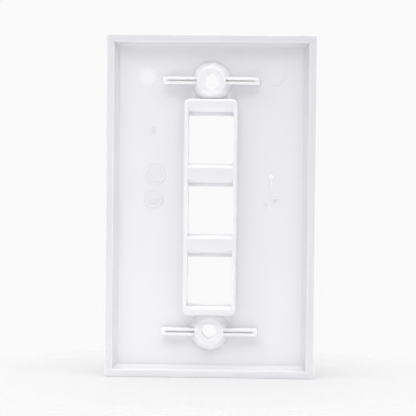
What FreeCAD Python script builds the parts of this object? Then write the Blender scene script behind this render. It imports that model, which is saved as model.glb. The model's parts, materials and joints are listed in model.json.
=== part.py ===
import FreeCAD, Part
import math
import os
import Sketcher

# A keystone faceplate: the plain moulded wall plate of a network outlet, for three snap-in jacks.
# It stands as it does on the wall: +Z is up, the room is at -Y, and the rear rim lies on the plane
# Y = 0. One moulding holds the whole of it: rim and panel, screw bosses with their slotted ribs,
# and a raised block of three jack sockets. Lengths are millimetres, angles degrees.

SIZES = {
    # the plate and its edge
    "plate_width": 69.85,        # side to side, over the rim
    "plate_height": 114.3,       # bottom to top, over the rim
    "plate_depth": 6.5,          # rear rim to front face
    "plate_corner": 0.6,         # radius of the four corners
    "edge_land": 1.6,            # straight part of the edge, next to the wall
    "front_inset": 1.9,          # how far the rest of the edge leans in, up to the front face
    "front_round": 0.5,          # rounding between the sloping edge and the front face
    # the recess in the back
    "rim_width": 2.5,            # flat face of the rim, which meets the wall
    "panel_wall": 2.0,           # thickness of the front panel
    "recess_land": 1.9,          # steep part of the recess wall, next to the rim
    "recess_draft": 0.35,        # how far that part leans in
    "recess_lean": 1.4,          # how far the whole wall leans in, from the rim to the panel
    "recess_round": 0.6,         # fillet where the recess wall meets the panel
    "root_overlap": 0.6,         # how far what stands on the panel runs into it
    # the jack sockets
    "port_count": 3,
    "port_pitch": 23.5,
    "port_middle_z": -1.3,       # height of the middle opening, just below the plate's own middle
    "opening_width": 14.7,       # the hole that shows at the front
    "opening_height": 15.8,
    "opening_chamfer": 0.3,      # broken edge round the opening, at the front face
    "socket_width": 15.0,        # the wider well behind it
    "top_lip": 3.2,              # thickness of the wall above the opening
    "bottom_shelf": 5.6,         # depth of the shelf below the opening, from the front face
    "latch_catch_step": 1.45,    # underside of the upper catch, above the opening
    "latch_room": 1.25,          # undercut above the upper catch, where the jack's latch springs up
    "latch_catch_depth": 3.7,    # back of the block to the front side of the upper catch
    "latch_ramp": 3.0,           # lead-in ramp of the upper catch, along the depth
    "tooth_catch_step": 0.4,     # top of the lower catch, below the opening
    "tooth_room": 0.6,           # undercut in front of the lower catch, for the jack's fixed tooth
    "tooth_catch_depth": 1.6,    # back of the block to the front side of the lower catch
    "tooth_ramp": 1.0,           # lead-in ramp of the lower catch, along the depth
    "tooth_ramp_fall": 0.85,     # height of that ramp
    # the block round the sockets
    "block_proud": 2.9,          # how far it stands out behind the rim
    "block_side_wall": 1.35,
    "block_top_wall": 3.0,
    "block_bottom_wall": 2.15,
    "block_corner": 1.8,
    "block_round": 0.9,          # rounded outer edge of its back face
    # the two screw bosses
    "screw_spacing": 83.3,
    "screw_hole": 4.7,           # clearance for a 6-32 screw
    "head_diameter": 7.4,        # countersink for its oval head, at the front face
    "head_angle": 82.0,
    "boss_diameter": 9.0,        # at its rear end
    "boss_foot": 13.2,           # diameter where it meets the panel, round the countersink
    "boss_dome": 9.0,            # radius of its domed flank, seen in section
    "boss_below_rim": 0.2,       # rear end of the boss, short of the rim plane
    "boss_round": 0.3,           # rounded rear edge
    # the slotted ribs beside them
    "rib_span": 32.3,            # tip to tip
    "rib_thickness": 2.55,
    "rib_outset": 0.25,          # how far the rib sits beyond the screw, away from the sockets
    "rib_corner": 1.0,
    "rib_below_rim": 0.8,
    "rib_round": 0.5,            # rounded rear edge
    "slot_width": 0.5,
    "slot_depth": 1.3,
    "slot_boss_wall": 0.25,      # solid rib between the boss and the slot
    "slot_tip_wall": 1.7,        # solid rib between the slot and the tip
    # round marks left by the ejector pins
    "pin_diameter": 5.8,
    "pin_mark_height": 0.1,
    "pin_offset": 21.2,          # sideways from the middle
    "pin_z": 43.3,
}

# What follows from the sizes above.
FORMULAS = {
    "recess_depth": "sizes.plate_depth - sizes.panel_wall",
    "screw_z": "sizes.screw_spacing / 2",
    "rib_z": "screw_z + sizes.rib_outset",
    "port_reach": "sizes.port_pitch * (sizes.port_count - 1) / 2",
    "mouth_top": "sizes.opening_height / 2 + sizes.latch_catch_step + sizes.latch_room",
    "mouth_bottom": "sizes.opening_height / 2 + sizes.tooth_catch_step + sizes.tooth_ramp_fall",
    "block_width": "sizes.socket_width + 2 * sizes.block_side_wall",
    "block_top": "sizes.port_middle_z + port_reach + mouth_top + sizes.block_top_wall",
    "block_bottom": "sizes.port_middle_z - port_reach - mouth_bottom - sizes.block_bottom_wall",
    "countersink": "(sizes.head_diameter - sizes.screw_hole) / 2 / tan(sizes.head_angle / 2 * 1deg)",
    "slot_inner": "sizes.boss_diameter / 2 + sizes.slot_boss_wall",
    "slot_length": "sizes.rib_span / 2 - sizes.slot_tip_wall - slot_inner",
}

doc = FreeCAD.newDocument("keystone_faceplate")


def fill_sheet(name, cells):
    """Make a spreadsheet with one named value in each row."""
    sheet = doc.addObject("Spreadsheet::Sheet", name)
    for row, (alias, content) in enumerate(cells.items(), start=1):
        sheet.set(f"A{row}", alias)
        sheet.set(f"B{row}", content)
        sheet.setAlias(f"B{row}", alias)
    doc.recompute()
    return sheet


fill_sheet("sizes", {alias: str(value) for alias, value in SIZES.items()})
derived = fill_sheet("derived", {alias: "=" + formula for alias, formula in FORMULAS.items()})

body = doc.addObject("PartDesign::Body", "faceplate")
body.Label = "faceplate"
doc.recompute()
ORIGIN = {feature.Role: feature for feature in body.Origin.OriginFeatures}


# ---- drawing and feature helpers ---------------------------------------------------------------

def number(expression):
    """The value that an expression has now."""
    return float(derived.evalExpression(expression))


def new_sketch(name, plane, across="0", up="0", depth="0"):
    """A sketch parallel to one of the body's origin planes, its own origin moved as stated."""
    sketch = body.newObject("Sketcher::SketchObject", name)
    sketch.AttachmentSupport = (ORIGIN[plane], [""])
    sketch.MapMode = "FlatFace"
    for axis, expression in zip("xyz", (across, up, depth)):
        sketch.setExpression(f"AttachmentOffset.Base.{axis}", expression)
    return sketch


def back_sketch(name, y, z="0"):
    """A sketch seen from the front, at depth y, with its own origin at height z."""
    return new_sketch(name, "XZ_Plane", up=z, depth=f"-({y})")


def section_sketch(name, z):
    """A sketch of a section through the middle, with its own origin at height z."""
    return new_sketch(name, "YZ_Plane", up=z)


def dimension(sketch, kind, *places, size):
    """Constrain a sketch with one dimension, bound to an expression."""
    index = sketch.addConstraint(Sketcher.Constraint(kind, *places, number(size)))
    label = f"size_{index}"
    sketch.renameConstraint(index, label)
    sketch.setExpression(f"Constraints.{label}", size)


def rectangle(sketch, width, height, middle="0"):
    """Draw a rectangle centred above the sketch's origin, moved sideways by middle."""
    half_w, half_h, x = number(width) / 2, number(height) / 2, number(middle)
    corners = [FreeCAD.Vector(x + side * half_w, end * half_h)
               for side, end in ((-1, -1), (1, -1), (1, 1), (-1, 1))]
    lines = [sketch.addGeometry(Part.LineSegment(start, end))
             for start, end in zip(corners, corners[1:] + corners[:1])]
    for line, following in zip(lines, lines[1:] + lines[:1]):
        sketch.addConstraint(Sketcher.Constraint("Coincident", line, 2, following, 1))
    bottom, right, top, left = lines
    for line, direction in ((bottom, "Horizontal"), (top, "Horizontal"),
                            (left, "Vertical"), (right, "Vertical")):
        sketch.addConstraint(Sketcher.Constraint(direction, line))
    dimension(sketch, "DistanceX", bottom, 1, bottom, 2, size=width)
    dimension(sketch, "DistanceY", right, 1, right, 2, size=height)
    dimension(sketch, "DistanceX", -1, 1, bottom, 1, size=f"{middle} - ({width}) / 2")
    dimension(sketch, "DistanceY", bottom, 1, -1, 1, size=f"({height}) / 2")


def rounded_rectangle(sketch, width, height, radius):
    """Draw a rectangle with round corners, centred on the sketch's origin."""
    half_w, half_h, corner = number(width) / 2, number(height) / 2, number(radius)
    arcs, lines = [], []
    for turn, (side, end) in enumerate(((1, -1), (1, 1), (-1, 1), (-1, -1))):
        centre = FreeCAD.Vector(side * (half_w - corner), end * (half_h - corner))
        circle = Part.Circle(centre, FreeCAD.Vector(0, 0, 1), corner)
        start = math.radians(90 * turn - 90)
        arcs.append(Part.ArcOfCircle(circle, start, start + math.pi / 2))
    for arc, following in zip(arcs, arcs[1:] + arcs[:1]):
        lines.append(Part.LineSegment(arc.EndPoint, following.StartPoint))
    chain = [sketch.addGeometry(edge) for pair in zip(arcs, lines) for edge in pair]
    for edge, following in zip(chain, chain[1:] + chain[:1]):
        sketch.addConstraint(Sketcher.Constraint("Tangent", edge, 2, following, 1))
    right, top, left, bottom = chain[1::2]
    for edge, direction in ((right, "Vertical"), (left, "Vertical"),
                            (top, "Horizontal"), (bottom, "Horizontal")):
        sketch.addConstraint(Sketcher.Constraint(direction, edge))
    for arc in chain[2::2]:
        sketch.addConstraint(Sketcher.Constraint("Equal", chain[0], arc))
    sketch.addConstraint(Sketcher.Constraint("Symmetric", bottom, 1, top, 1, -1, 1))
    dimension(sketch, "DistanceX", left, 1, right, 1, size=width)
    dimension(sketch, "DistanceY", bottom, 1, top, 1, size=height)
    dimension(sketch, "Radius", chain[0], size=radius)


def outline(sketch, points, bow=None):
    """Draw a closed outline through points given as pairs of expressions.

    bow=(index, radius) makes the side after that point an arc of that radius, bowed to the left.
    """
    here = [FreeCAD.Vector(number(x), number(y)) for x, y in points]
    edges = []
    for index, (start, end) in enumerate(zip(here, here[1:] + here[:1])):
        if bow and index == bow[0]:
            radius = number(bow[1])
            half = (end - start) / 2
            aside = FreeCAD.Vector(-half.y, half.x).normalize()
            centre = start + half + aside * -math.sqrt(radius ** 2 - half.Length ** 2)
            circle = Part.Circle(centre, FreeCAD.Vector(0, 0, 1), radius)
            angles = [math.atan2(point.y - centre.y, point.x - centre.x) for point in (end, start)]
            edges.append((sketch.addGeometry(Part.ArcOfCircle(circle, *angles)), 2, 1))
            dimension(sketch, "Radius", edges[-1][0], size=bow[1])
        else:
            edges.append((sketch.addGeometry(Part.LineSegment(start, end)), 1, 2))
    for (edge, _, last), (following, first, _) in zip(edges, edges[1:] + edges[:1]):
        sketch.addConstraint(Sketcher.Constraint("Coincident", edge, last, following, first))
    for (edge, first, _), (x, y) in zip(edges, points):
        dimension(sketch, "DistanceX", -1, 1, edge, first, size=x)
        dimension(sketch, "DistanceY", -1, 1, edge, first, size=y)


def feature(kind, name, base=None, **properties):
    """Add a feature to the body; a text value becomes an expression."""
    made = body.newObject("PartDesign::" + kind, name)
    if base is not None:
        made.Profile = (base, [""])
    for key, value in properties.items():
        if isinstance(value, str) and key not in ("Type", "SideType"):
            made.setExpression(key, value)
        else:
            setattr(made, key, value)
    doc.recompute()
    if kind in ("Pocket", "Groove") and made.Shape.Volume >= made.BaseFeature.Shape.Volume:
        raise RuntimeError(f"{name} cuts nothing")
    return made


def wedge(kind, name, front, back):
    """Add or cut a form that tapers along Y, given as (depth, inset from the plate's outline)."""
    made = body.newObject("PartDesign::" + kind, name)
    for (y, inset), end, across in ((front, "min", ""), (back, "max", "2")):
        made.setExpression(f"Y{end}", y)
        for axis, size in (("X", "sizes.plate_width"), ("Z", "sizes.plate_height")):
            made.setExpression(f"{axis}{across}max", f"{size} / 2 - ({inset})")
            made.setExpression(f"{axis}{across}min", f"{inset} - {size} / 2")
    doc.recompute()
    return made


def soften(kind, name, base, test, **sizes):
    """Fillet or chamfer the edges of a feature whose box passes a test."""
    names = [f"Edge{index}" for index, edge in enumerate(base.Shape.Edges, start=1)
             if test(edge.BoundBox)]
    made = body.newObject("PartDesign::" + kind, name)
    made.Base = (base, names)
    for key, value in sizes.items():
        made.setExpression(key, value)
    doc.recompute()
    return made


def at_depth(box, y, middle_z=None):
    """Whether an edge lies flat at depth y, and on the same side of the plate as middle_z."""
    flat = max(abs(box.YMin - y), abs(box.YMax - y)) < 1e-4
    return flat and (middle_z is None or box.ZMin * middle_z > 0)


# ---- plate: straight land at the wall, then a sloping edge; the recess follows both inside -----

land_outline = back_sketch("land_outline", y="0")
rectangle(land_outline, "sizes.plate_width", "sizes.plate_height")
feature("Pad", "edge_land", land_outline, Length="sizes.edge_land")

edge = wedge("AdditiveWedge", "sloping_edge",
             front=("-sizes.plate_depth", "sizes.front_inset"),
             back=("-sizes.edge_land", "0"))
corners = soften("Fillet", "plate_corners", edge,
                 lambda box: box.YLength > 1e-4, Radius="sizes.plate_corner")
soften("Fillet", "front_round", corners,
       lambda box: at_depth(box, -number("sizes.plate_depth")), Radius="sizes.front_round")

wedge("SubtractiveWedge", "recess_rear",
      front=("-sizes.recess_land", "sizes.rim_width + sizes.recess_draft"),
      back=("0", "sizes.rim_width"))
recess = wedge("SubtractiveWedge", "recess_front",
               front=("-derived.recess_depth", "sizes.rim_width + sizes.recess_lean"),
               back=("-sizes.recess_land", "sizes.rim_width + sizes.recess_draft"))
soften("Fillet", "recess_round", recess,
       lambda box: at_depth(box, -number("derived.recess_depth")), Radius="sizes.recess_round")

# ---- block: a raised box behind the panel, which makes the sockets deep enough ------------------

block_outline = back_sketch("block_outline", y="sizes.block_proud",
                            z="(derived.block_top + derived.block_bottom) / 2")
rounded_rectangle(block_outline, "derived.block_width",
                  "derived.block_top - derived.block_bottom", "sizes.block_corner")
block = feature("Pad", "block", block_outline,
                Length="sizes.block_proud + derived.recess_depth + sizes.root_overlap")
soften("Fillet", "block_round", block,
       lambda box: at_depth(box, number("sizes.block_proud")), Radius="sizes.block_round")


# ---- screw bosses, each with a slotted rib to either side ---------------------------------------

for place, sign in (("upper", ""), ("lower", "-")):
    screw_z, rib_z = f"{sign}derived.screw_z", f"{sign}derived.rib_z"
    rib_outline = back_sketch(f"{place}_rib_outline", y="-sizes.rib_below_rim", z=rib_z)
    rounded_rectangle(rib_outline, "sizes.rib_span", "sizes.rib_thickness", "sizes.rib_corner")
    rib = feature("Pad", f"{place}_rib", rib_outline,
                  Length="derived.recess_depth + sizes.root_overlap - sizes.rib_below_rim")
    soften("Fillet", f"{place}_rib_round", rib,
           lambda box: at_depth(box, -number("sizes.rib_below_rim"), number(rib_z)),
           Radius="sizes.rib_round")

    boss_section = section_sketch(f"{place}_boss_section", z=screw_z)
    outline(boss_section, [
        ("-derived.recess_depth - sizes.root_overlap", "0"),
        ("-derived.recess_depth - sizes.root_overlap", "sizes.boss_foot / 2"),
        ("-derived.recess_depth", "sizes.boss_foot / 2"),
        ("-sizes.boss_below_rim", "sizes.boss_diameter / 2"),
        ("-sizes.boss_below_rim", "0"),
    ], bow=(2, "sizes.boss_dome"))
    boss = feature("Revolution", f"{place}_boss", boss_section,
                   ReferenceAxis=(boss_section, ["H_Axis"]))
    soften("Fillet", f"{place}_boss_round", boss,
           lambda box: at_depth(box, -number("sizes.boss_below_rim"), number(screw_z)),
           Radius="sizes.boss_round")

    slot_outline = back_sketch(f"{place}_slot_outline", y="-sizes.rib_below_rim", z=rib_z)
    for side in (-1, 1):
        rectangle(slot_outline, "derived.slot_length", "sizes.slot_width",
                  middle=f"{side} * (derived.slot_inner + derived.slot_length / 2)")
    feature("Pocket", f"{place}_rib_slots", slot_outline, Reversed=True, Length="sizes.slot_depth")

    hole_section = section_sketch(f"{place}_hole_section", z=screw_z)
    outline(hole_section, [
        ("-sizes.plate_depth", "0"),
        ("-sizes.plate_depth", "sizes.head_diameter / 2"),
        ("-sizes.plate_depth + derived.countersink", "sizes.screw_hole / 2"),
        ("-sizes.boss_below_rim", "sizes.screw_hole / 2"),
        ("-sizes.boss_below_rim", "0"),
    ])
    feature("Groove", f"{place}_screw_hole", hole_section, ReferenceAxis=(hole_section, ["H_Axis"]))

# ---- jack sockets: the lowest is modelled, and repeated upwards ---------------------------------

LOWEST_PORT = "sizes.port_middle_z - derived.port_reach"
opening_outline = back_sketch("opening_outline", y="-sizes.plate_depth", z=LOWEST_PORT)
rectangle(opening_outline, "sizes.opening_width", "sizes.opening_height")
opening = feature("Pocket", "port_opening", opening_outline, Type="ThroughAll")

SHELF = "sizes.bottom_shelf - sizes.plate_depth"
TOOTH_FRONT = "sizes.block_proud - sizes.tooth_catch_depth"
LATCH_FRONT = "sizes.block_proud - sizes.latch_catch_depth"
LOWER_CATCH = "-sizes.opening_height / 2 - sizes.tooth_catch_step"
UPPER_CATCH = "sizes.opening_height / 2 + sizes.latch_catch_step"
TOP_LIP = "sizes.top_lip - sizes.plate_depth"
socket_section = section_sketch("socket_section", z=LOWEST_PORT)
outline(socket_section, [
    (TOP_LIP, "-sizes.opening_height / 2"),
    (SHELF, "-sizes.opening_height / 2"),
    (SHELF, f"{LOWER_CATCH} - sizes.tooth_room"),
    (TOOTH_FRONT, f"{LOWER_CATCH} - sizes.tooth_room"),
    (TOOTH_FRONT, LOWER_CATCH),
    ("sizes.block_proud - sizes.tooth_ramp", LOWER_CATCH),
    ("sizes.block_proud", "-derived.mouth_bottom"),
    ("sizes.block_proud", "derived.mouth_top"),
    ("sizes.block_proud - sizes.latch_ramp", UPPER_CATCH),
    (LATCH_FRONT, UPPER_CATCH),
    (LATCH_FRONT, f"{UPPER_CATCH} + sizes.latch_room"),
    (TOP_LIP, f"{UPPER_CATCH} + sizes.latch_room"),
])
socket = feature("Pocket", "port_socket", socket_section, Length="sizes.socket_width",
                 SideType="Symmetric")

ports = body.newObject("PartDesign::LinearPattern", "ports")
ports.Originals = [opening, socket]
ports.Direction = (ORIGIN["Z_Axis"], [""])
ports.setExpression("Length", "2 * derived.port_reach")
ports.setExpression("Occurrences", "sizes.port_count")
body.Tip = ports
doc.recompute()

soften("Chamfer", "opening_edges", ports,
       lambda box: at_depth(box, -number("sizes.plate_depth"))
       and box.XMax - box.XMin < number("sizes.opening_width") + 0.01
       and box.ZMax < number("derived.block_top") and box.ZMin > number("derived.block_bottom"),
       Size="sizes.opening_chamfer")

# ---- ejector pin marks: two thin discs on the panel, above the sockets --------------------------

pin_circles = back_sketch("pin_circles", y="-derived.recess_depth", z="sizes.pin_z")
for side in (-1, 1):
    radius, x = number("sizes.pin_diameter / 2"), side * number("sizes.pin_offset")
    ring = Part.Circle(FreeCAD.Vector(x, 0), FreeCAD.Vector(0, 0, 1), radius)
    circle = pin_circles.addGeometry(ring)
    dimension(pin_circles, "Radius", circle, size="sizes.pin_diameter / 2")
    dimension(pin_circles, "DistanceX", -1, 1, circle, 3, size=f"{side} * sizes.pin_offset")
    pin_circles.addConstraint(Sketcher.Constraint("PointOnObject", circle, 3, -1))
feature("Pad", "pin_marks", pin_circles, Reversed=True, Length="sizes.pin_mark_height")

# ---- check and write -----------------------------------------------------------------------------

failed = [item.Name for item in doc.Objects if {"Invalid", "Error"} & set(item.State)]
if failed:
    raise RuntimeError("these features failed: " + ", ".join(failed))
shape = body.Shape
if shape.isNull() or not shape.isValid() or len(shape.Solids) != 1:
    raise RuntimeError("the faceplate isn't one valid solid")
os.makedirs("parts", exist_ok=True)
shape.exportStep(f"parts/{body.Label}.step")
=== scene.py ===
# %% [markdown]
# # A keystone faceplate, seen from behind
# The plate is one moulding of white plastic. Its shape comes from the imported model: the rim, the
# recessed panel, the two screw bosses with their slotted ribs, and the block of jack sockets. This
# lesson softens the edges of that shape as a mould does, adds the small marks that a mould leaves,
# makes the plastic, and lights the plate as on a pale studio table.

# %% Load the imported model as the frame
import json
import math

import bmesh
import bpy
from mathutils import Matrix, Vector

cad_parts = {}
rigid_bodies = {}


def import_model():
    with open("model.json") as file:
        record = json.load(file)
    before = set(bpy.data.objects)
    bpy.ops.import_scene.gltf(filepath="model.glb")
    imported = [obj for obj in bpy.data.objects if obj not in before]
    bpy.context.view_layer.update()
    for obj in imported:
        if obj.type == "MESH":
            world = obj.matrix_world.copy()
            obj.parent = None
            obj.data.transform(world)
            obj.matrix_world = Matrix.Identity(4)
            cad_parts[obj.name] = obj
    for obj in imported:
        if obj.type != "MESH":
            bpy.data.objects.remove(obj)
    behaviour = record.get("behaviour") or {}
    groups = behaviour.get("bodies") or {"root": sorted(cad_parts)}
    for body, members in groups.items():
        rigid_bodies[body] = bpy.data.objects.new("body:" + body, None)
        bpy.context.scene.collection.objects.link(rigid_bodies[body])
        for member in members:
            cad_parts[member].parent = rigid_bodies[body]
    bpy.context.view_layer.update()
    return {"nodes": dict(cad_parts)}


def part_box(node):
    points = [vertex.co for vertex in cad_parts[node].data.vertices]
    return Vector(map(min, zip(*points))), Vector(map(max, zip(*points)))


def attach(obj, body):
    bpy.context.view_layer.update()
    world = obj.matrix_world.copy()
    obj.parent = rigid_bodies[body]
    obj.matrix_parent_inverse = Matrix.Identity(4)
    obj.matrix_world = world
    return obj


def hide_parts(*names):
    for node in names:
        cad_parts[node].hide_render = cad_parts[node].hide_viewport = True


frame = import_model()
low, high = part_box("faceplate")
print("the plate measures", [round(value * 1000, 2) for value in high - low], "mm")

# %% [markdown]
# ## Lengths
# Blender works in metres, and the marks are easier to think of in millimetres, so one constant
# turns the one into the other. The rear rim lies on the plane where Y is nought. The panel's back
# face is found from the front face and the panel's thickness.

# %% Units and the panel's back face
MM = 0.001
PANEL_THICKNESS = 2.0 * MM
panel_face = low.y + PANEL_THICKNESS
print("the panel's back face is at", round(panel_face / MM, 2), "mm")

# %% [markdown]
# ## The moulding
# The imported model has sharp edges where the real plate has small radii, because steel moulds wear
# and molten plastic doesn't fill a sharp corner. Those radii are about a tenth of a millimetre, and
# they matter: they catch thin lines of light along the rim and the block.
#
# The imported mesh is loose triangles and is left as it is. A copy of it is merged, and its flat
# parts are joined into whole faces, so that an edge is a real edge and not a seam of triangles.

# %% Copy the plate and merge the copy
MERGE_DISTANCE = 0.002 * MM
FLAT_ANGLE = math.radians(0.2)

packed_plate = frame["nodes"]["faceplate"]
bpy.ops.object.select_all(action="DESELECT")
packed_plate.select_set(True)
bpy.context.view_layer.objects.active = packed_plate
bpy.ops.object.duplicate(linked=False)
moulding = bpy.context.object
moulding.name = "moulding"
bpy.ops.object.mode_set(mode="EDIT")
bpy.ops.mesh.select_all(action="SELECT")
bpy.ops.mesh.remove_doubles(threshold=MERGE_DISTANCE)
bpy.ops.mesh.dissolve_limited(angle_limit=FLAT_ANGLE)
bpy.ops.object.mode_set(mode="OBJECT")
print("the copy has", len(moulding.data.polygons), "faces")

# %% [markdown]
# ## Which edges to round
# A bevel over every edge would fail: a few steps are smaller than the bevel, such as the marks of
# the ejector pins. So only the sharp edges that face the wall are rounded, those of the rim, the
# block and the bosses. An edge is picked by its depth and its angle. It then carries a weight,
# which the bevel reads, and which is one where the bevel goes.

# %% Pick the sharp edges that face the wall
SHARP_ANGLE = math.radians(28)
REAR_FACES = {"rim": 0, "block": 2.9 * MM, "bosses": -0.2 * MM}
SAME_DEPTH = 0.01 * MM

shape = bmesh.new()
shape.from_mesh(moulding.data)
weight = shape.edges.layers.float.new("bevel_weight_edge")
for name, depth in REAR_FACES.items():
    picked = [edge for edge in shape.edges
              if all(abs(corner.co.y - depth) < SAME_DEPTH for corner in edge.verts)
              and edge.is_manifold and edge.calc_face_angle() > SHARP_ANGLE]
    for edge in picked:
        edge[weight] = 1
    print(name, "edges to round:", len(picked))
shape.to_mesh(moulding.data)
shape.free()

# %% [markdown]
# ## Round them, and keep the flat parts flat
# Smooth shading bends the light over a large flat face when a small rounding starts at its edge.
# Weighted normals let the largest face at a corner decide, so flat parts look flat again.

# %% Bevel and shade the moulding
EDGE_RADIUS = 0.12 * MM

rounding = moulding.modifiers.new("rounded_edges", "BEVEL")
rounding.width = EDGE_RADIUS
rounding.segments = 3
rounding.limit_method = "WEIGHT"
rounding.use_clamp_overlap = False
bpy.ops.object.modifier_apply(modifier=rounding.name)
bpy.ops.object.shade_smooth_by_angle(angle=SHARP_ANGLE)
flattening = moulding.modifiers.new("flat_faces_look_flat", "WEIGHTED_NORMAL")
flattening.weight = 100
flattening.keep_sharp = True
bpy.ops.object.modifier_apply(modifier=flattening.name)
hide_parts("faceplate")
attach(moulding, "root")
print("the moulding has", len(moulding.data.polygons), "faces")

# %% [markdown]
# ## Small effects of moulded plastic, and masks for painted light and shade
# The next cells build six small effects. Clouds, grain and specks show that white plastic is never
# quite even, a polished spot shows one pin of the mould, and two masks tell where light and shade
# are painted into the colour. Each one is a node group, which both plastics of the plate can use
# with their own amounts. All of them read Object coordinates, so nothing slides when the plate
# moves or is seen from another side.
#
# A few short tools come first. One adds a node and feeds its inputs: where it is given another
# node's output it makes a link, and otherwise it sets the value.

# %% Tools for nodes
def feed(tree, node, inputs):
    """Feed a node: an input gets a link if it is given an output, or else a value."""
    for key, value in inputs.items():
        if isinstance(value, bpy.types.NodeSocket):
            tree.links.new(value, node.inputs[key])
        else:
            node.inputs[key].default_value = value
    return node


def add_node(tree, kind, name, inputs=None, **settings):
    """Add a shader node to a tree, named, set up and fed."""
    node = tree.nodes.new(kind if kind.startswith("Node") else "ShaderNode" + kind)
    node.name = node.label = name
    for key, value in settings.items():
        setattr(node, key, value)
    return feed(tree, node, inputs or {})


def math_node(tree, name, operation, first, second=0):
    """The result of a sum with one or two numbers."""
    return add_node(tree, "Math", name, {0: first, 1: second}, operation=operation).outputs[0]


def vector_node(tree, name, operation, first, second=(0, 0, 0)):
    """The node of a sum with one or two vectors."""
    return add_node(tree, "VectorMath", name, {0: first, 1: second}, operation=operation)


print("the tools for nodes are ready")

# %% [markdown]
# ## Starting and ending a group
# Each group reads a position and a few named amounts, and gives out one number.

# %% Tools for groups
def new_group(name, amounts, output):
    """Start a node group with named amounts (numbers or vectors, with values)."""
    group = bpy.data.node_groups.new(name, "ShaderNodeTree")
    group.interface.new_socket("Position", in_out="INPUT", socket_type="NodeSocketVector")
    for socket_name, value in amounts.items():
        kind = "NodeSocketVector" if isinstance(value, tuple) else "NodeSocketFloat"
        socket = group.interface.new_socket(socket_name, in_out="INPUT", socket_type=kind)
        socket.default_value = value
    group.interface.new_socket(output, in_out="OUTPUT", socket_type="NodeSocketFloat")
    return group, add_node(group, "NodeGroupInput", "inputs").outputs


def finish_group(group, value):
    """Give the group's result out, and return the finished group."""
    add_node(group, "NodeGroupOutput", "outputs", {0: value})
    print("made the group", group.name)
    return group


def scaled_position(group, position, size):
    """Position divided by a size, so that one pattern cell is as big as that size."""
    share = math_node(group, "one over the size", "DIVIDE", 1, size)
    scaled = add_node(group, "VectorMath", "scaled position", {0: position, "Scale": share},
                      operation="SCALE")
    return scaled.outputs[0]


print("the tools for groups are ready")

# %% [markdown]
# ## Clouds
# Pigment and the flow of the molten plastic leave slow, faint changes of tone. A soft noise gives
# them, spread so that it reaches from nought to one.

# %% Clouds: slow, faint changes of tone
group, given = new_group("plastic_clouds", {"Size": 20 * MM}, "Cloud")
noise = add_node(group, "TexNoise", "cloud noise",
                 {"Vector": scaled_position(group, given["Position"], given["Size"]),
                  "Scale": 1, "Detail": 2})
spread = add_node(group, "MapRange", "spread to 0 to 1",
                  {"Value": noise.outputs["Fac"], "From Min": 0.3, "From Max": 0.7},
                  interpolation_type="SMOOTHSTEP")
plastic_clouds = finish_group(group, spread.outputs["Result"])

# %% [markdown]
# ## Grain
# The mould's steel prints a very fine grain on the plastic. It is only a height, for a bump.

# %% Grain: the fine texture of the mould's steel
group, given = new_group("mould_grain", {"Size": 0.25 * MM}, "Height")
noise = add_node(group, "TexNoise", "grain noise",
                 {"Vector": scaled_position(group, given["Position"], given["Size"]),
                  "Scale": 1, "Detail": 3, "Roughness": 0.6})
mould_grain = finish_group(group, noise.outputs["Fac"])

# %% [markdown]
# ## Specks
# A speck of dust or burnt resin shows here and there. A coarse pattern of cells gives each cell a
# middle and a chance, and only the cells with a low chance get their tiny dot.

# %% Specks: a tiny dark dot in a few cells of a coarse pattern
group, given = new_group("stray_specks", {"Spacing": 8 * MM, "Radius": 0.15 * MM, "Share": 0.3},
                         "Speck")
cells = add_node(group, "TexVoronoi", "cells",
                 {"Vector": scaled_position(group, given["Position"], given["Spacing"]),
                  "Scale": 1}, feature="F1")
reach = math_node(group, "radius in cells", "DIVIDE", given["Radius"], given["Spacing"])
near = math_node(group, "inside the dot", "LESS_THAN", cells.outputs["Distance"], reach)
chance = add_node(group, "SeparateColor", "chance of each cell",
                  {"Color": cells.outputs["Color"]}).outputs["Red"]
chosen = math_node(group, "chosen cells", "LESS_THAN", chance, given["Share"])
dots = math_node(group, "dot in a chosen cell", "MULTIPLY", near, chosen)
stray_specks = finish_group(group, dots)

# %% [markdown]
# ## Painted shade on the rim and its wall
# This mask paints shade. It makes the solid rim and the upper part of the recess's wall a little
# greyer, standing in for the light that comes through the thin panel but not through the rim, and
# for the shade that falls on the wall under the rim. The plate is the same in all four quarters,
# so the position is folded into one of them. The mask then grows over the last two millimetres
# before the rim's inner edge, up the wall of the recess.

# %% Painted shade: a mask that grows up the recess's wall to the solid rim
RIM_WIDTH = 2.5 * MM

group, given = new_group("thick_rim", {"Half Width": high.x - RIM_WIDTH,
                                       "Half Height": high.z - RIM_WIDTH,
                                       "Blend": 2 * MM}, "Thick")
quarter = vector_node(group, "one quarter of the plate", "ABSOLUTE", given["Position"])
corner = add_node(group, "CombineXYZ", "inner corner of the rim",
                  {"X": given["Half Width"], "Z": given["Half Height"]})
from_rim = vector_node(group, "from that corner", "SUBTRACT", quarter.outputs[0],
                       corner.outputs[0])
parts = add_node(group, "SeparateXYZ", "sideways and upwards", {0: from_rim.outputs[0]}).outputs
furthest = math_node(group, "furthest out", "MAXIMUM", parts["X"], parts["Z"])
start = math_node(group, "where it begins", "MULTIPLY", given["Blend"], -1)
rising = add_node(group, "MapRange", "from thin to thick",
                  {"Value": furthest, "From Min": start, "From Max": 0},
                  interpolation_type="SMOOTHSTEP")
thick_rim = finish_group(group, rising.outputs["Result"])

# %% [markdown]
# ## The polished spot
# Ejector pins push the plate out of the mould. One of them was polished, so its round spot on the
# panel is paler and glossier. Depth counts four times in the distance from the spot's middle, so
# that the spot doesn't reach through the panel to the front.

# %% Polish: a mask for one round spot that touched a polished pin
group, given = new_group("polished_spot", {"Middle": (0.0, 0.0, 0.0), "Radius": 3 * MM}, "Spot")
offset = vector_node(group, "from the middle", "SUBTRACT", given["Position"], given["Middle"])
stretched = vector_node(group, "depth counts four times", "MULTIPLY", offset.outputs[0],
                        (1, 4, 1))
away = vector_node(group, "how far away", "LENGTH", stretched.outputs[0]).outputs["Value"]
within = math_node(group, "within the spot", "LESS_THAN", away, given["Radius"])
polished_spot = finish_group(group, within)
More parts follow.
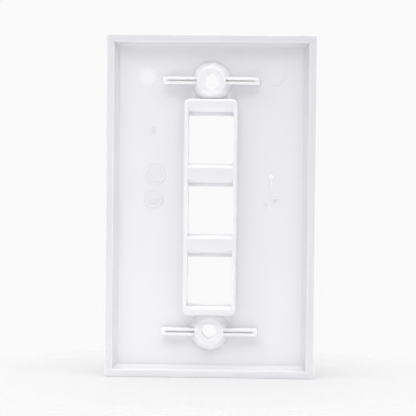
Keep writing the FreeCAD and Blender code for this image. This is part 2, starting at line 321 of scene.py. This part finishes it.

# %% [markdown]
# ## Places with painted light or shade
# Some places get painted light or shade in their colour: deep and narrow ones are painted paler,
# which lifts their shade, and the block that stands proud gets painted shade. Each place is a box.
# The smallest distance to a side of the box tells how far inside it a point is, and the mask grows
# from there. Width and height are folded into one quarter again, and depth isn't.

# %% Box: a mask for what lies inside a box, and inside its mirror images in the four quarters
group, given = new_group("inside_box", {"Low": (0.0, 0.0, 0.0), "High": (1.0, 1.0, 1.0),
                                        "Blend": 1 * MM}, "Inside")
quarter = vector_node(group, "one quarter of the plate", "ABSOLUTE", given["Position"])
sides = add_node(group, "SeparateXYZ", "sideways and upwards", {0: quarter.outputs[0]}).outputs
depth = add_node(group, "SeparateXYZ", "depth", {0: given["Position"]}).outputs["Y"]
folded = add_node(group, "CombineXYZ", "folded position",
                  {"X": sides["X"], "Y": depth, "Z": sides["Z"]}).outputs[0]
above = vector_node(group, "over the low corner", "SUBTRACT", folded, given["Low"])
below = vector_node(group, "under the high corner", "SUBTRACT", given["High"], folded)
nearer = vector_node(group, "to the nearer side", "MINIMUM", above.outputs[0], below.outputs[0])
margins = add_node(group, "SeparateXYZ", "margins", {0: nearer.outputs[0]}).outputs
least = math_node(group, "of width and depth", "MINIMUM", margins["X"], margins["Y"])
smallest = math_node(group, "and of height", "MINIMUM", least, margins["Z"])
inside = add_node(group, "MapRange", "inside", {"Value": smallest, "From Max": given["Blend"]},
                  interpolation_type="SMOOTHSTEP")
inside_box = finish_group(group, inside.outputs["Result"])

# %% [markdown]
# ## The plastics
# Wall plates are moulded in a white plastic with a soft gloss and a faint violet cast, which comes
# from the blue toner that makers add so that white doesn't look yellow. Light goes a millimetre
# into it and comes out beside where it went in, so slots and inner corners never go black. That is
# the subsurface part of the shader.
#
# The colours come first. A tint multiplies what is under it, and a white replaces it. Two of the
# tints paint shade, and each box of painted light or shade has two corners and a soft border, in
# millimetres.

# %% Colours, and where they go
WHITE = (0.858, 0.853, 0.873, 1)
CLOUDED_WHITE = (0.844, 0.838, 0.860, 1)
MARK_WHITE = (0.950, 0.946, 0.960, 1)
SPOT_WHITE = (0.865, 0.863, 0.873, 1)
SPECK_COLOUR = (0.42, 0.40, 0.42, 1)
# Painted shade: the first tint below darkens the colour towards one upper corner, standing in for
# light that is weaker up there and on that side.
CORNER_SHADE_TINT = (0.90, 0.90, 0.903, 1)
# This tint paints shade on the rim and on the upper part of the recess's wall.
RIM_SHADE_TINT = (0.905, 0.905, 0.910, 1)
# The direction in which that painted shade grows.
TOWARDS_PAINTED_SHADE = (-0.42 / high.x, 0, 0.58 / high.z)
SPOT_PLACE = (21.4 * MM, panel_face, 43.3 * MM)
SPOT_RADIUS = 2.9 * MM
# These boxes paint light and shade: the sockets' walls, the ribs' slots and the narrow gaps beside
# the bosses are painted paler to lift their shade, and the block that stands proud is given painted
# shade.
LIGHT_AND_SHADE_BOXES = [("walls of the sockets", (-1, -6.1, -1), (7.55, 2.6, 34), 0.05,
                (0.860, 0.856, 0.874, 1), "MIX"),
               ("block, where it stands proud", (-1, 0, -1), (10, 5, 40), 0.8,
                (0.960, 0.960, 0.962, 1), "MULTIPLY"),
               ("slots in the ribs", (4.8, -2.3, 41.5), (14.6, -0.85, 42.3), 0.05,
                (0.970, 0.968, 0.975, 1), "MIX"),
               ("narrow gaps beside the bosses", (-3, -6, 34), (7.5, 0.8, 39.2), 2.2,
                (0.970, 0.967, 0.980, 1), "MIX")]
print("colours for", len(LIGHT_AND_SHADE_BOXES), "places with painted light or shade")

# %% [markdown]
# ## Laying one colour over another
# The colours are laid over each other one by one, each where its mask says so: the clouds, the
# painted shade towards one upper corner, the painted shade on the rim and its wall, the polished
# spot, the boxes of painted light and shade, and the specks on top.
# Blender's Mix node keeps its two colours in inputs six and seven, and the result in output two.

# %% Tools for the plastic's colour
def lay_over(tree, name, under, colour, share, way="MIX"):
    """Lay a colour over another where a mask says so."""
    return add_node(tree, "Mix", name, {"Factor": share, 6: under, 7: colour},
                    data_type="RGBA", blend_type=way).outputs[2]


def effect(tree, position, group, **amounts):
    """Place one of the groups in a material, with its own amounts."""
    return add_node(tree, "Group", group.name, {"Position": position, **amounts},
                    node_tree=group).outputs[0]


def plastic_colour(tree, position, white, cloud, spot):
    """The plastic's colour, built up layer by layer."""
    colour = lay_over(tree, "clouded white", white, CLOUDED_WHITE, cloud)
    # Painted shade: the colour grows darker towards one upper corner, standing in for light that is
    # weaker there.
    across = vector_node(tree, "towards one upper corner", "DOT_PRODUCT", position, TOWARDS_PAINTED_SHADE)
    painted_shade_drift = add_node(tree, "MapRange", "from corner to corner",
                     {"Value": across.outputs["Value"], "From Min": -1}).outputs["Result"]
    colour = lay_over(tree, "greyer to one corner", colour, CORNER_SHADE_TINT, painted_shade_drift, "MULTIPLY")
    # Painted shade on the rim and on the upper part of the recess's wall.
    colour = lay_over(tree, "greyer where thick", colour, RIM_SHADE_TINT,
                      effect(tree, position, thick_rim), "MULTIPLY")
    colour = lay_over(tree, "cleaner on the polished spot", colour, SPOT_WHITE, spot)
    # Painted light and shade, box by box.
    for name, low_corner, high_corner, blend, tone, way in LIGHT_AND_SHADE_BOXES:
        inside_it = effect(tree, position, inside_box, Low=[value * MM for value in low_corner],
                           High=[value * MM for value in high_corner], Blend=blend * MM)
        colour = lay_over(tree, name, colour, tone, inside_it, way)
    dots = effect(tree, position, stray_specks, Spacing=11 * MM, Radius=0.14 * MM, Share=0.12)
    return lay_over(tree, "specks on it", colour, SPECK_COLOUR, dots)


print("the tools for the plastic's colour are ready")

# %% [markdown]
# ## Two plastics
# The gloss follows the clouds, and the polished spot is glossier still. The moulded marks were cut
# into polished steel, so they come out paler and smoother than the panel. They get the same
# plastic with less grain and more gloss. They are too thin for light to wander in, so they have no
# subsurface part.

# %% Make the plastics
CLOUD_SIZE = 22 * MM
GRAIN_SIZE = 0.22 * MM
GRAIN_STRENGTH = 0.35
SPOT_ROUGHNESS = 0.2
LIGHT_REACH = 1.0 * MM


def make_plastic(name, white, roughness, cloudy_roughness, grain_depth, translucency):
    """A white moulded plastic: clouds in colour and gloss, fine grain, and a few specks."""
    material = bpy.data.materials.new(name)
    material.use_nodes = True
    tree = material.node_tree
    position = add_node(tree, "TexCoord", "object coordinates").outputs["Object"]
    cloud = effect(tree, position, plastic_clouds, Size=CLOUD_SIZE)
    spot = effect(tree, position, polished_spot, Middle=SPOT_PLACE, Radius=SPOT_RADIUS)
    gloss = add_node(tree, "MapRange", "cloudy gloss",
                     {"Value": cloud, "To Min": roughness, "To Max": cloudy_roughness})
    smooth = add_node(tree, "MapRange", "glossier on the polished spot",
                      {"Value": spot, "To Min": gloss.outputs["Result"],
                       "To Max": SPOT_ROUGHNESS})
    bump = add_node(tree, "Bump", "grain",
                    {"Strength": GRAIN_STRENGTH, "Distance": grain_depth,
                     "Height": effect(tree, position, mould_grain, Size=GRAIN_SIZE)})
    feed(tree, tree.nodes["Principled BSDF"],
         {"Base Color": plastic_colour(tree, position, white, cloud, spot),
          "Roughness": smooth.outputs["Result"], "Normal": bump.outputs["Normal"],
          "Subsurface Weight": translucency, "Subsurface Radius": (1, 1, 1),
          "Subsurface Scale": LIGHT_REACH})
    return material


plastic = make_plastic("white_plastic", WHITE, roughness=0.36, cloudy_roughness=0.46,
                       grain_depth=0.02 * MM, translucency=1.0)
mark_plastic = make_plastic("smooth_white_plastic", MARK_WHITE, roughness=0.28,
                            cloudy_roughness=0.34, grain_depth=0.008 * MM, translucency=0.0)
moulding.data.materials.clear()
moulding.data.materials.append(plastic)
print("made the plastics", plastic.name, "and", mark_plastic.name)

# %% [markdown]
# ## The small moulded marks
# A mould leaves marks on the back of a plate, where nobody looks: round dials, whose pointers the
# moulder turns to show when the piece was made, and a few tiny raised signs. They stand a tenth of
# a millimetre off the panel. Each is a plain generic form here, with no lettering. All of them are
# sunk to their middle in the panel, so only their upper half shows.
#
# The first tool ends every mark: it puts the mark's origin at the world's, so that the plastic's
# pattern runs on from the panel, and makes the mark part of the moulding.

# %% Tool that ends a mark
MARK_HEIGHT = 0.1 * MM
MARK_SHARP_ANGLE = math.radians(50)


def finish_mark(piece, name):
    """Name a new mark, put its origin at the world's, and make it part of the moulding."""
    piece.name = name
    bpy.ops.object.transform_apply(location=True, rotation=True, scale=True)
    bpy.ops.object.shade_smooth_by_angle(angle=MARK_SHARP_ANGLE)
    piece.data.materials.append(mark_plastic)
    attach(piece, "root")


print("marks are", round(MARK_HEIGHT / MM, 2), "mm high")

# %% [markdown]
# ## Rings
# A ring starts as a flat cylinder that lies in the panel. Its back face is inset by the ring's
# thickness, and what is left in the middle is pushed down below the panel. A bevel then slopes the
# sides, as they have to slope for the mould to let go of them. How far down, and how wide the
# slope is, are given as multiples of the ring's height.

# %% Tool for rings
FACES_THE_WALL = 0.9
RING_DEPTH = 1.5
RING_SLOPE = 1.4


def raised_ring(name, x, z, radius, thickness, corners=64, height=MARK_HEIGHT):
    """A low ring on the panel, with sloping sides; with four corners it is an upright square."""
    bpy.ops.object.select_all(action="DESELECT")
    bpy.ops.mesh.primitive_cylinder_add(vertices=corners, radius=radius + thickness / 2,
                                        depth=2 * height, location=(x, panel_face, z),
                                        rotation=(math.radians(90), math.radians(180 / corners), 0))
    bpy.ops.object.transform_apply(location=False, rotation=True, scale=False)
    ring = bpy.context.object
    bpy.ops.object.mode_set(mode="EDIT")
    bpy.ops.mesh.select_all(action="DESELECT")
    flat_ring = bmesh.from_edit_mesh(ring.data)
    for face in flat_ring.faces:
        face.select_set(face.normal.y > FACES_THE_WALL)
    flat_ring.select_flush_mode()
    bmesh.update_edit_mesh(ring.data)
    bpy.ops.mesh.inset(thickness=thickness)
    down = (0, -RING_DEPTH * height, 0)
    bpy.ops.mesh.extrude_region_move(TRANSFORM_OT_translate={"value": down})
    bpy.ops.object.mode_set(mode="OBJECT")
    sloping = ring.modifiers.new("sloping_sides", "BEVEL")
    sloping.width = RING_SLOPE * height
    sloping.segments = 3
    sloping.limit_method = "ANGLE"
    bpy.ops.object.modifier_apply(modifier=sloping.name)
    finish_mark(ring, name)


print("the tool for rings is ready")

# %% [markdown]
# ## Bars and discs
# A bar is a box at its own size, turned, with a bevel nearly as wide as it is high. A disc is a
# flat cylinder with a softly rounded edge.

# %% Tools for bars and discs
BAR_SLOPE = 0.9
DISC_ROUNDING = 0.18 * MM


def raised_bar(name, x, z, length, width, turn, height=MARK_HEIGHT):
    """A low bar on the panel, turned by an angle in degrees, with sloping sides."""
    bpy.ops.object.select_all(action="DESELECT")
    bpy.ops.mesh.primitive_cube_add(size=1, location=(x, panel_face, z),
                                    rotation=(0, math.radians(turn), 0))
    bar = bpy.context.object
    bar.scale = (length, 2 * height, width)
    bpy.ops.object.transform_apply(location=False, rotation=False, scale=True)
    rounding = bar.modifiers.new("rounded_edges", "BEVEL")
    rounding.width = BAR_SLOPE * min(height, width / 2)
    rounding.segments = 4
    bpy.ops.object.modifier_apply(modifier=rounding.name)
    finish_mark(bar, name)


def raised_disc(name, x, z, radius):
    """A low disc on the panel with a softly rounded edge."""
    bpy.ops.object.select_all(action="DESELECT")
    bpy.ops.mesh.primitive_cylinder_add(vertices=48, radius=radius, depth=2 * MARK_HEIGHT,
                                        location=(x, panel_face, z),
                                        rotation=(math.radians(90), 0, 0))
    disc = bpy.context.object
    rounding = disc.modifiers.new("rounded_edge", "BEVEL")
    rounding.width = DISC_ROUNDING
    rounding.segments = 3
    rounding.limit_method = "ANGLE"
    bpy.ops.object.modifier_apply(modifier=rounding.name)
    finish_mark(disc, name)


print("the tools for bars and discs are ready")

# %% [markdown]
# ## Dials
# The two dials sit one above the other beside the sockets. The upper one has a short pointer and a
# dot. The lower one has two crossed bars, of which one is lower, so that their tops never meet in
# one plane and flicker.

# %% Make the dials
raised_ring("upper_dial", 18.85 * MM, 10.4 * MM, 3.1 * MM, 0.65 * MM)
raised_bar("upper_dial_pointer", 17.4 * MM, 8.7 * MM, 1.9 * MM, 0.55 * MM, -25)
raised_disc("upper_dial_dot", 19.85 * MM, 9.6 * MM, 0.45 * MM)
raised_ring("lower_dial", 19.1 * MM, 2.45 * MM, 2.85 * MM, 0.5 * MM)
raised_bar("lower_dial_pointer", 19.5 * MM, 1.6 * MM, 2.6 * MM, 0.4 * MM, 40)
raised_bar("lower_dial_arm", 19.5 * MM, 1.6 * MM, 2.2 * MM, 0.35 * MM, -50, 0.8 * MARK_HEIGHT)
raised_disc("lower_dial_dot", 17.9 * MM, 2.5 * MM, 0.45 * MM)
print("made the dials")

# %% [markdown]
# ## The faintest marks
# The second ejector pin has left only a faint ring, and above the dials stand two worn strokes. All
# three are half as high as the other marks.

# %% Make the faint ring of the second pin, and two worn strokes
raised_ring("sign_pin_ring", -21.4 * MM, 42.8 * MM, 2.85 * MM, 0.5 * MM, height=0.05 * MM)
raised_bar("sign_upper_stroke", 19.0 * MM, 25.2 * MM, 2.2 * MM, 0.4 * MM, 90, MARK_HEIGHT / 2)
raised_bar("sign_lower_stroke", 20.0 * MM, 25.2 * MM, 2.2 * MM, 0.4 * MM, 90, MARK_HEIGHT / 2)
print("made the faint ring and the strokes")

# %% [markdown]
# ## The signs opposite
# On the other side of the sockets are a disc on a faint stem, a small square frame and a small
# ring.

# %% Make the signs opposite
raised_disc("sign_disc", -20.1 * MM, 10.0 * MM, 0.95 * MM)
raised_bar("sign_stem", -20.05 * MM, 7.1 * MM, 4.2 * MM, 0.6 * MM, 90, MARK_HEIGHT / 3)
raised_ring("sign_frame", -21.65 * MM, 1.95 * MM, 1.35 * MM, 0.45 * MM, corners=4)
raised_ring("sign_bowl", -18.8 * MM, 0.4 * MM, 0.75 * MM, 0.35 * MM)
marks = [item for item in bpy.data.objects if item.name.startswith(("upper_", "lower_", "sign_"))]
print("made", len(marks), "marks in all")

# %% [markdown]
# ## The camera
# The plate is shown from the back, a little from one side and a little from above, with a long
# lens. A long lens far away keeps the upright edges nearly parallel, as in a catalogue picture.
# The camera is placed by an angle round the plate and an angle above it, and then aimed.

# %% Place the camera behind the plate
CAMERA_DISTANCE = 650 * MM
CAMERA_SIDE = math.radians(2.0)
CAMERA_ABOVE = math.radians(1.9)
CAMERA_ROLL = math.radians(0.57)
AIM = Vector((0.73, 0, -0.43)) * MM
LENS = 169.1

camera_data = bpy.data.cameras.new("camera")
camera_data.lens = LENS
camera_data.sensor_width = 36
camera = bpy.data.objects.new("camera", camera_data)
bpy.context.scene.collection.objects.link(camera)
towards_camera = Vector((-math.sin(CAMERA_SIDE) * math.cos(CAMERA_ABOVE),
                         math.cos(CAMERA_SIDE) * math.cos(CAMERA_ABOVE),
                         math.sin(CAMERA_ABOVE)))
place = Matrix.Translation(AIM + towards_camera * CAMERA_DISTANCE)
aimed = (-towards_camera).to_track_quat("-Z", "Y").to_matrix().to_4x4()
camera.matrix_world = place @ aimed @ Matrix.Rotation(CAMERA_ROLL, 4, "Z")
bpy.context.scene.camera = camera
print("camera at", [round(value, 3) for value in camera.matrix_world.translation])

# %% [markdown]
# ## The studio's light
# The plate stands in a white tent. The tent glows softly all round near the table. Above that
# comes a dark gap, where the tent is open, then a long soft box that reaches over the plate from
# the camera's side, and a bright strip straight overhead. The box is a little stronger to one
# side. So the rim and the ribs throw short soft shadows down into the recess, and the table, lit
# from above, lights the plate from below. The tent's far side is weaker, and lights the front.
#
# All of this is painted on the world by direction, so no lamp is needed. A ramp over the height of
# a ray, from level to straight up, tells how bright the tent is there. Each step has a height and
# a strength. A ramp holds numbers up to one, so a strength is written as a share of the brightest.

# %% How bright the tent is at each height
TENT_STEPS = [(0.00, 0.8), (0.23, 0.8), (0.30, 0.05), (0.54, 0.05), (0.61, 2.85), (0.80, 2.85),
              (0.85, 1.8), (0.955, 1.8), (0.97, 2.6), (1.00, 2.6)]
REAR_STEPS = [(0.00, 0.6), (0.30, 0.6), (0.42, 1.1), (0.80, 1.1), (0.95, 0.7), (1.00, 0.7)]
BRIGHTEST = 3.0


def height_ramp(tree, name, height, steps):
    """Brightness as a ramp over the height of a ray, from level to straight up."""
    ramp = add_node(tree, "ValToRGB", name, {"Fac": height})
    points = ramp.color_ramp.elements
    while len(points) < len(steps):
        points.new(0.5)
    for point, (at, strength) in zip(points, steps):
        point.position = at
        level = strength / BRIGHTEST
        point.color = (level, level, level, 1)
    return ramp.outputs["Color"]


print("the tent has", len(TENT_STEPS), "steps before the plate's back, and", len(REAR_STEPS),
      "on the far side")

# %% [markdown]
# ## Putting up the tent
# The ray's Y tells whether it goes to the camera's side of the tent or to the far side. The two
# meet in a soft border, because a hard one would show as a line on glossy plastic. The ray's X
# makes one side a little stronger.

# %% Put up the tent
SIDE_SHARE = 0.08
SOFT_BORDER = 0.15

world = bpy.data.worlds.new("white_tent")
bpy.context.scene.world = world
world.use_nodes = True
tree = world.node_tree
ray = add_node(tree, "TexCoord", "ray").outputs["Generated"]
parts = add_node(tree, "SeparateXYZ", "parts of the ray", {0: ray}).outputs
facing = add_node(tree, "MapRange", "behind or before the plate",
                  {"Value": parts["Y"], "From Min": -SOFT_BORDER, "From Max": SOFT_BORDER},
                  interpolation_type="SMOOTHSTEP").outputs["Result"]
glow = lay_over(tree, "tent before and behind",
                height_ramp(tree, "rear of the tent", parts["Z"], REAR_STEPS),
                height_ramp(tree, "front of the tent", parts["Z"], TENT_STEPS), facing)
side = add_node(tree, "MapRange", "stronger to one side",
                {"Value": parts["X"], "From Min": -1, "To Min": BRIGHTEST * (1 - SIDE_SHARE),
                 "To Max": BRIGHTEST * (1 + SIDE_SHARE)}).outputs["Result"]
tent = feed(tree, tree.nodes["Background"], {"Color": glow, "Strength": side})
print("the tent is up")

# %% [markdown]
# ## The backdrop
# The camera sees none of the tent, only a plain white backdrop. Mirrors and glass would see that
# backdrop too, so their rays are sent there with the camera's.

# %% Show the camera a white backdrop
BACKDROP_WHITE = 0.957

backdrop = add_node(tree, "Background", "white backdrop",
                    {"Color": (BACKDROP_WHITE, BACKDROP_WHITE, BACKDROP_WHITE, 1)})
paths = add_node(tree, "LightPath", "kind of ray").outputs
mirror = math_node(tree, "camera or mirror", "MAXIMUM", paths["Is Camera Ray"],
                   paths["Is Glossy Ray"])
glass = math_node(tree, "or glass", "MAXIMUM", mirror, paths["Is Transmission Ray"])
pick = add_node(tree, "MixShader", "backdrop or tent",
                {"Fac": glass, 1: tent.outputs["Background"], 2: backdrop.outputs["Background"]})
feed(tree, tree.nodes["World Output"], {"Surface": pick.outputs["Shader"]})
print("the backdrop is", BACKDROP_WHITE, "white")

# %% [markdown]
# ## The table
# The table is white too, with faint clouds of its own, and it has little gloss. Its colour is full
# for the light that it sends back to the plate. The camera sees it a little darker, which keeps the
# lit table from turning to blank white.

# %% The table's colour and gloss
TABLE_WHITE = (0.92, 0.92, 0.922, 1)
TABLE_CLOUDED = (0.91, 0.91, 0.912, 1)
TABLE_CLOUD_SIZE = 150 * MM
CAMERA_SHARE = 0.785

floor_material = bpy.data.materials.new("studio_floor")
floor_material.use_nodes = True
tree = floor_material.node_tree
position = add_node(tree, "TexCoord", "object coordinates").outputs["Object"]
camera_ray = add_node(tree, "LightPath", "kind of ray").outputs["Is Camera Ray"]
cloud = effect(tree, position, plastic_clouds, Size=TABLE_CLOUD_SIZE)
tone = lay_over(tree, "table white", TABLE_WHITE, TABLE_CLOUDED, cloud)
shade = lay_over(tree, "as the camera sees it", tone,
                 (CAMERA_SHARE, CAMERA_SHARE, CAMERA_SHARE, 1), camera_ray, "MULTIPLY")
gloss = add_node(tree, "MapRange", "table gloss", {"Value": cloud, "To Min": 0.6, "To Max": 0.7})
floor_shader = feed(tree, tree.nodes["Principled BSDF"],
                    {"Base Color": shade, "Roughness": gloss.outputs["Result"],
                     "Specular IOR Level": 0.2})
print("made the table's", floor_material.name)

# %% [markdown]
# ## No horizon
# Far from the plate the camera sees through the table to the white backdrop, so there is no
# horizon behind the plate or in its openings. Near the plate the table is an ordinary surface,
# which keeps the soft shadow. Between the two it fades.

# %% Clear the table far away, and lay it under the plate
CLEAR_NEAR = 30 * MM
CLEAR_FAR = 120 * MM
TABLE_SIZE = 4

reach = vector_node(tree, "distance from the plate", "LENGTH", position).outputs["Value"]
fade = add_node(tree, "MapRange", "clear far away",
                {"Value": reach, "From Min": CLEAR_NEAR, "From Max": CLEAR_FAR},
                interpolation_type="SMOOTHSTEP").outputs["Result"]
hidden = math_node(tree, "hidden from the camera", "MULTIPLY", fade, camera_ray)
feed(tree, floor_shader, {"Alpha": math_node(tree, "kept", "SUBTRACT", 1, hidden)})

bpy.ops.object.select_all(action="DESELECT")
bpy.ops.mesh.primitive_plane_add(size=TABLE_SIZE, location=(0, 0, low.z))
floor = bpy.context.object
floor.name = "floor"
floor.data.materials.append(floor_material)
print("floor at", round(low.z / MM, 2), "mm")

# %% [markdown]
# ## Last settings
# The Standard view shows colours as they are written.

# %% Settings
bpy.context.scene.view_settings.view_transform = "Standard"
